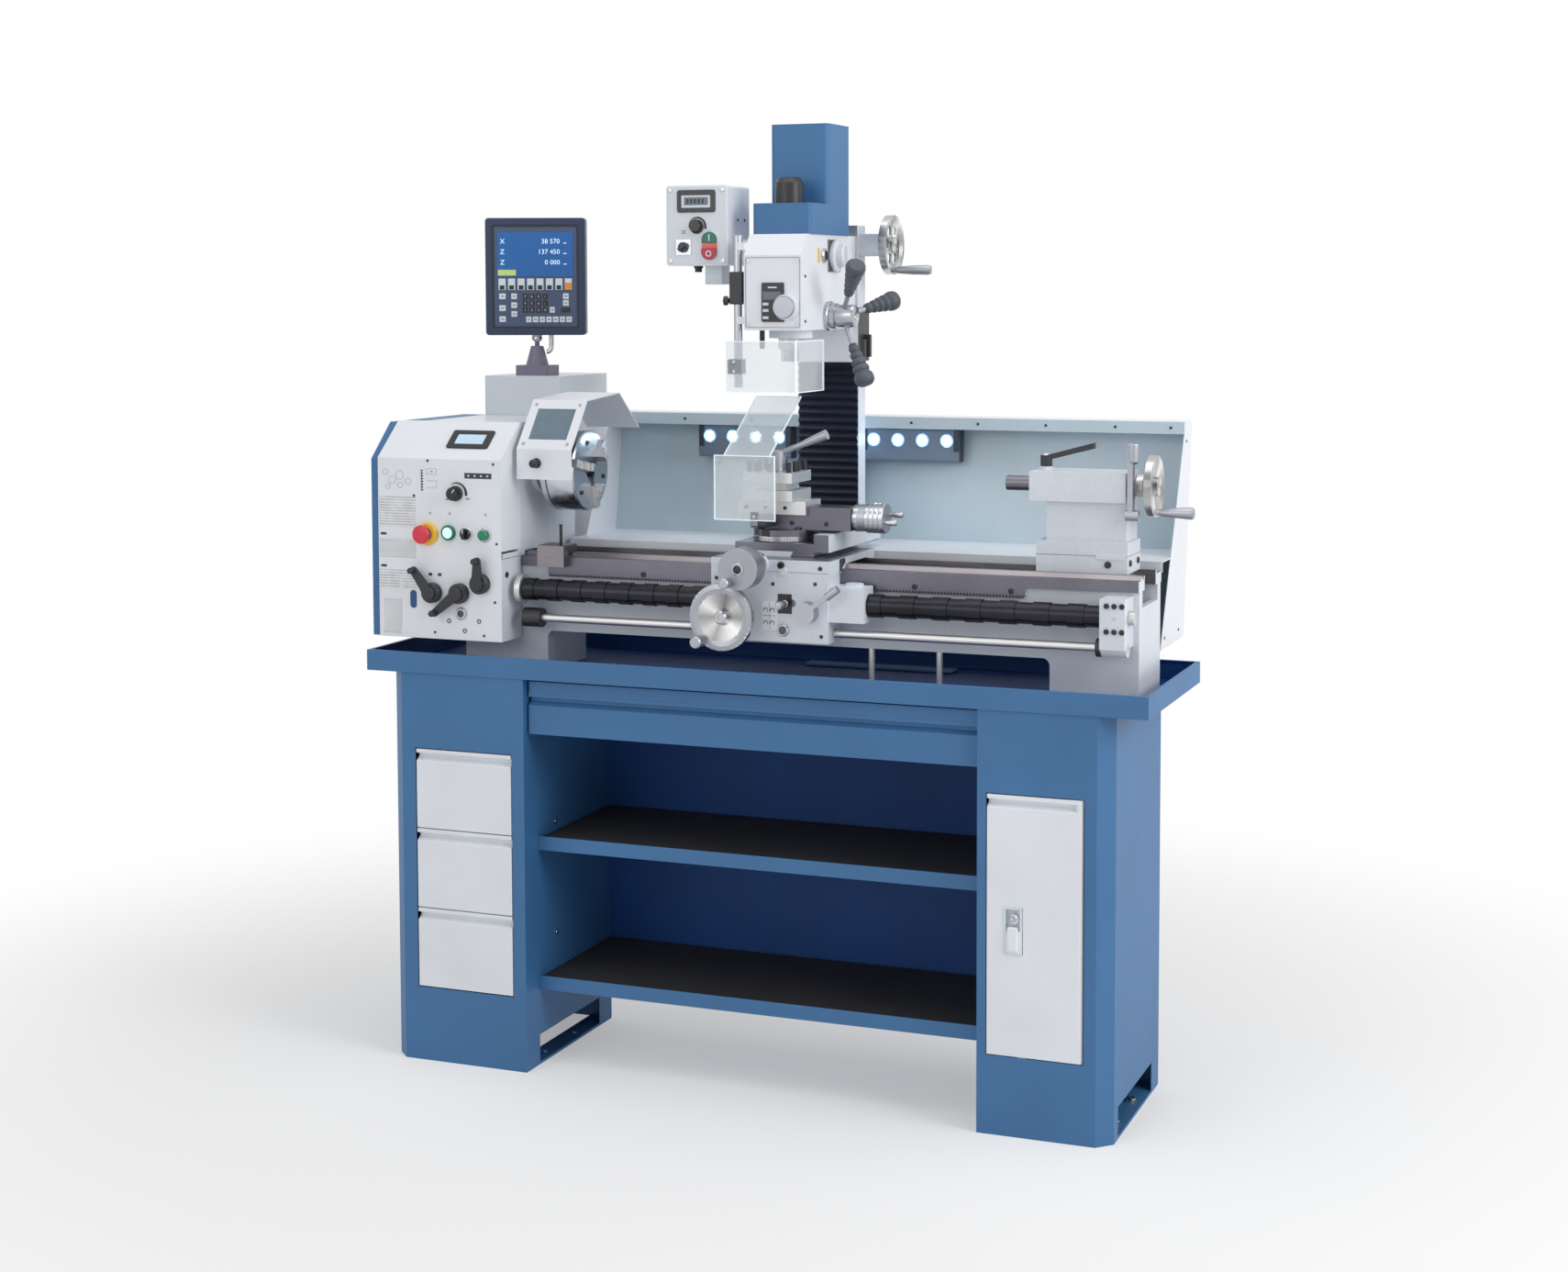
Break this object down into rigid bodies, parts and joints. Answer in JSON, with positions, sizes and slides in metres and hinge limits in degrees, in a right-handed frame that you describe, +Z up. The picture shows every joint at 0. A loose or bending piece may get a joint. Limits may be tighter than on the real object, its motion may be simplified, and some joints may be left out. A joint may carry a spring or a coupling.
{
  "type": "combination lathe mill",
  "caption": "Bench lathe with a milling head on its back column, splash guard, digital readout display and a two-cabinet stand with drawers and shelves.",
  "frame": {"origin": "centre of the outer anchor holes, on the floor plane", "axes": "+Z up, +X along the bed from headstock to tailstock, +Y away from the operator"},
  "size_m": [1.6243, 0.6477, 1.854],
  "materials": {
    "white_paint": "powder coat, satin",
    "blue_paint": "powder coat, satin",
    "grey_paint": "enamel, semi-gloss",
    "cast_grey": "enamelled casting with ground ways",
    "ground_steel": "ground",
    "polished": "turned and polished",
    "black_plastic": "moulded, matte",
    "red_plastic": "moulded, gloss",
    "green_plastic": "moulded, gloss",
    "black_steel": "blued spring strip",
    "black_rubber": "pleated rubber cloth",
    "clear_sheet": "clear polycarbonate"
  },
  "bodies": {
    "stand": {"left_cabinet": "blue_paint", "right_cabinet": "blue_paint", "shelves": "blue_paint", "chip_tray": "blue_paint", "bed": "cast_grey", "headstock": "cast_grey", "front_panel": "white_paint", "electrics_cabinet": "white_paint", "splash_guard": "white_paint", "mill_column": "cast_grey", "screw_cover_left": "black_steel", "screw_cover_right": "black_steel", "way_bellows": "black_rubber"},
    "drawer_bottom": {"drawer_bottom": "white_paint"},
    "drawer_middle": {"drawer_middle": "white_paint"},
    "drawer_top": {"drawer_top": "white_paint"},
    "wide_drawer": {"wide_drawer": "blue_paint"},
    "cabinet_door": {"cabinet_door": "white_paint"},
    "spindle": {"spindle": "ground_steel", "chuck_body": "ground_steel"},
    "jaw_1": {"chuck_jaw_1": "ground_steel"},
    "jaw_2": {"chuck_jaw_2": "ground_steel"},
    "jaw_3": {"chuck_jaw_3": "ground_steel"},
    "chuck_guard": {"chuck_guard": "white_paint"},
    "gear_cover": {"gear_cover": "blue_paint"},
    "dro_display": {"dro_display": "black_plastic"},
    "gear_lever_left": {"gear_lever_left": "black_plastic"},
    "gear_lever_middle": {"gear_lever_middle": "black_plastic"},
    "gear_lever_right": {"gear_lever_right": "black_plastic"},
    "speed_dial": {"speed_dial": "black_plastic"},
    "emergency_stop": {"emergency_stop": "red_plastic"},
    "start_button": {"start_button": "green_plastic"},
    "leadscrew": {"leadscrew": "ground_steel"},
    "feed_rod": {"feed_rod": "ground_steel"},
    "carriage": {"carriage": "cast_grey"},
    "carriage_handwheel": {"carriage_handwheel": "polished"},
    "feed_lever": {"feed_lever": "black_plastic"},
    "cross_slide": {"cross_slide": "cast_grey"},
    "cross_handwheel": {"cross_handwheel": "polished"},
    "compound_base": {"compound_base": "grey_paint"},
    "top_slide": {"top_slide": "ground_steel"},
    "compound_crank": {"compound_crank": "polished"},
    "toolpost": {"toolpost": "ground_steel"},
    "toolpost_lever": {"toolpost_lever": "ground_steel"},
    "tool_guard": {"tool_guard": "clear_sheet"},
    "tailstock": {"tailstock": "cast_grey"},
    "tailstock_quill": {"tailstock_quill": "ground_steel"},
    "tailstock_handwheel": {"tailstock_handwheel": "polished"},
    "quill_lock_lever": {"quill_lock_lever": "black_plastic"},
    "mill_head": {"mill_head": "cast_grey", "head_cover": "blue_paint", "mill_box": "grey_paint"},
    "z_handwheel": {"z_handwheel": "polished"},
    "mill_quill": {"mill_quill": "ground_steel"},
    "mill_spindle": {"mill_spindle": "ground_steel"},
    "quill_handle": {"quill_handle": "polished"},
    "gear_knob": {"gear_knob": "black_plastic"},
    "spindle_guard": {"spindle_guard": "clear_sheet"},
    "mill_dial": {"mill_dial": "black_plastic"},
    "mill_stop": {"mill_stop": "red_plastic"}
  },
  "joints": [
    {"name": "drawer_bottom_slide", "type": "slide", "parent": "stand", "child": "drawer_bottom", "axis": [0, -1, 0], "range_m": [0, 0.26]},
    {"name": "drawer_middle_slide", "type": "slide", "parent": "stand", "child": "drawer_middle", "axis": [0, -1, 0], "range_m": [0, 0.26]},
    {"name": "drawer_top_slide", "type": "slide", "parent": "stand", "child": "drawer_top", "axis": [0, -1, 0], "range_m": [0, 0.26]},
    {"name": "wide_drawer_slide", "type": "slide", "parent": "stand", "child": "wide_drawer", "axis": [0, -1, 0], "range_m": [0, 0.28]},
    {"name": "door_hinge", "type": "hinge", "parent": "stand", "child": "cabinet_door", "pos_m": [0.676, -0.182, 0.388], "axis": [0, 0, 1], "range_deg": [0, 100]},
    {"name": "spindle_spin", "type": "hinge", "parent": "stand", "child": "spindle", "pos_m": [-0.6, 0, 1.175], "axis": [1, 0, 0], "continuous": true},
    {"name": "jaw_1_slide", "type": "slide", "parent": "spindle", "child": "jaw_1", "axis": [0, -0.9659, 0.2588], "range_m": [-0.02, 0.012]},
    {"name": "jaw_2_slide", "type": "slide", "parent": "spindle", "child": "jaw_2", "axis": [0, 0.2588, -0.9659], "range_m": [-0.02, 0.012]},
    {"name": "jaw_3_slide", "type": "slide", "parent": "spindle", "child": "jaw_3", "axis": [0, 0.7071, 0.7071], "range_m": [-0.02, 0.012]},
    {"name": "chuck_guard_hinge", "type": "hinge", "parent": "stand", "child": "chuck_guard", "pos_m": [-0.48, 0.07, 1.245], "axis": [-1, 0, 0], "range_deg": [0, 85]},
    {"name": "gear_cover_hinge", "type": "hinge", "parent": "stand", "child": "gear_cover", "pos_m": [-0.706, 0.2173, 1], "axis": [0, 0, -1], "range_deg": [0, 90]},
    {"name": "display_swivel", "type": "hinge", "parent": "stand", "child": "dro_display", "pos_m": [-0.597, 0.19, 1.43], "axis": [0, 0, 1], "range_deg": [-40, 30]},
    {"name": "gear_lever_left_turn", "type": "hinge", "parent": "stand", "child": "gear_lever_left", "pos_m": [-0.643, -0.172, 0.939], "axis": [0, -1, 0], "range_deg": [-60, 0]},
    {"name": "gear_lever_middle_turn", "type": "hinge", "parent": "stand", "child": "gear_lever_middle", "pos_m": [-0.582, -0.172, 0.94], "axis": [0, -1, 0], "range_deg": [-5, 60]},
    {"name": "gear_lever_right_turn", "type": "hinge", "parent": "stand", "child": "gear_lever_right", "pos_m": [-0.535, -0.172, 0.961], "axis": [0, -1, 0], "range_deg": [-30, 30]},
    {"name": "speed_dial_turn", "type": "hinge", "parent": "stand", "child": "speed_dial", "pos_m": [-0.589, -0.172, 1.137], "axis": [0, -1, 0], "range_deg": [-135, 135]},
    {"name": "emergency_stop_press", "type": "slide", "parent": "stand", "child": "emergency_stop", "axis": [0, 1, 0], "range_m": [0, 0.005]},
    {"name": "start_button_press", "type": "slide", "parent": "stand", "child": "start_button", "axis": [0, 1, 0], "range_m": [0, 0.003], "stiffness_N_per_m": 900},
    {"name": "leadscrew_spin", "type": "hinge", "parent": "stand", "child": "leadscrew", "pos_m": [0, -0.118, 0.948], "axis": [1, 0, 0], "continuous": true},
    {"name": "feed_rod_spin", "type": "hinge", "parent": "stand", "child": "feed_rod", "pos_m": [0, -0.122, 0.893], "axis": [1, 0, 0], "continuous": true},
    {"name": "carriage_slide", "type": "slide", "parent": "stand", "child": "carriage", "axis": [1, 0, 0], "range_m": [-0.25, 0.2], "deforming": ["screw_cover_left", "screw_cover_right"]},
    {"name": "carriage_handwheel_turn", "type": "hinge", "parent": "carriage", "child": "carriage_handwheel", "pos_m": [-0.008, -0.2, 0.925], "axis": [0, -1, 0], "range_deg": [-4600, 3700]},
    {"name": "feed_lever_turn", "type": "hinge", "parent": "carriage", "child": "feed_lever", "pos_m": [0.146, -0.17, 0.935], "axis": [0, -1, 0], "range_deg": [-30, 30]},
    {"name": "cross_slide_feed", "type": "slide", "parent": "carriage", "child": "cross_slide", "axis": [0, 1, 0], "range_m": [-0.02, 0.04]},
    {"name": "cross_handwheel_turn", "type": "hinge", "parent": "carriage", "child": "cross_handwheel", "pos_m": [0.043, -0.2, 1.021], "axis": [0, -1, 0], "range_deg": [-1850, 3650]},
    {"name": "compound_swivel", "type": "hinge", "parent": "cross_slide", "child": "compound_base", "pos_m": [0.055, -0.04, 1.07], "axis": [0, 0, 1], "range_deg": [-30, 30]},
    {"name": "top_slide_feed", "type": "slide", "parent": "compound_base", "child": "top_slide", "axis": [1, 0, 0], "range_m": [-0.02, 0.04]},
    {"name": "compound_crank_turn", "type": "hinge", "parent": "compound_base", "child": "compound_crank", "pos_m": [0.21, -0.04, 1.1036], "axis": [1, 0, 0], "range_deg": [-1850, 3650]},
    {"name": "toolpost_turn", "type": "hinge", "parent": "top_slide", "child": "toolpost", "pos_m": [0.038, -0.04, 1.16], "axis": [0, 0, 1], "range_deg": [0, 90]},
    {"name": "toolpost_lever_turn", "type": "hinge", "parent": "top_slide", "child": "toolpost_lever", "pos_m": [0.038, -0.04, 1.2], "axis": [0, 0, 1], "range_deg": [-20, 40]},
    {"name": "tool_guard_hinge", "type": "hinge", "parent": "compound_base", "child": "tool_guard", "pos_m": [0.03, -0.1125, 1.092], "axis": [1, 0, 0], "range_deg": [0, 18]},
    {"name": "tailstock_slide", "type": "slide", "parent": "stand", "child": "tailstock", "axis": [1, 0, 0], "range_m": [-0.2, 0.02]},
    {"name": "tailstock_quill_feed", "type": "slide", "parent": "tailstock", "child": "tailstock_quill", "axis": [-1, 0, 0], "range_m": [0, 0.06]},
    {"name": "tailstock_handwheel_turn", "type": "hinge", "parent": "tailstock", "child": "tailstock_handwheel", "pos_m": [0.75, 0, 1.175], "axis": [-1, 0, 0], "range_deg": [-30, 7250]},
    {"name": "quill_lock_turn", "type": "hinge", "parent": "tailstock", "child": "quill_lock_lever", "pos_m": [0.56, 0, 1.215], "axis": [0, 0, 1], "range_deg": [-60, 30]},
    {"name": "mill_head_lift", "type": "slide", "parent": "stand", "child": "mill_head", "axis": [0, 0, 1], "range_m": [-0.005, 0.05], "deforming": ["way_bellows"]},
    {"name": "z_handwheel_turn", "type": "hinge", "parent": "stand", "child": "z_handwheel", "pos_m": [0.17, 0.235, 1.623], "axis": [1, 0, 0], "range_deg": [-500, 4550]},
    {"name": "mill_quill_feed", "type": "slide", "parent": "mill_head", "child": "mill_quill", "axis": [0, 0, -1], "range_m": [0, 0.06]},
    {"name": "mill_spindle_spin", "type": "hinge", "parent": "mill_quill", "child": "mill_spindle", "pos_m": [0.051, 0, 1.45], "axis": [0, 0, 1], "continuous": true},
    {"name": "quill_handle_turn", "type": "hinge", "parent": "mill_head", "child": "quill_handle", "pos_m": [0.112, 0.045, 1.484], "axis": [1, 0, 0], "range_deg": [-5, 245]},
    {"name": "gear_knob_turn", "type": "hinge", "parent": "mill_head", "child": "gear_knob", "pos_m": [0.112, 0.082, 1.6], "axis": [1, 0, 0], "range_deg": [0, 90]},
    {"name": "spindle_guard_swing", "type": "hinge", "parent": "mill_head", "child": "spindle_guard", "pos_m": [-0.025, -0.08, 1.389], "axis": [0, 0, 1], "range_deg": [-100, 0]},
    {"name": "mill_dial_turn", "type": "hinge", "parent": "mill_head", "child": "mill_dial", "pos_m": [-0.118, -0.06, 1.656], "axis": [0, -1, 0], "range_deg": [-135, 135]},
    {"name": "mill_stop_press", "type": "slide", "parent": "mill_head", "child": "mill_stop", "axis": [0, 1, 0], "range_m": [0, 0.003], "stiffness_N_per_m": 900}
  ],
  "couplings": [
    {"joint": "jaw_2_slide", "follows": "jaw_1_slide", "ratio": 1},
    {"joint": "jaw_3_slide", "follows": "jaw_1_slide", "ratio": 1},
    {"joint": "carriage_handwheel_turn", "follows": "carriage_slide", "rad_per_m": 314.16},
    {"joint": "cross_handwheel_turn", "follows": "cross_slide_feed", "rad_per_m": 1570.8},
    {"joint": "compound_crank_turn", "follows": "top_slide_feed", "rad_per_m": 1570.8},
    {"joint": "tailstock_handwheel_turn", "follows": "tailstock_quill_feed", "rad_per_m": 2094.4},
    {"joint": "z_handwheel_turn", "follows": "mill_head_lift", "rad_per_m": 1570.8},
    {"joint": "quill_handle_turn", "follows": "mill_quill_feed", "rad_per_m": 69.813}
  ]
}
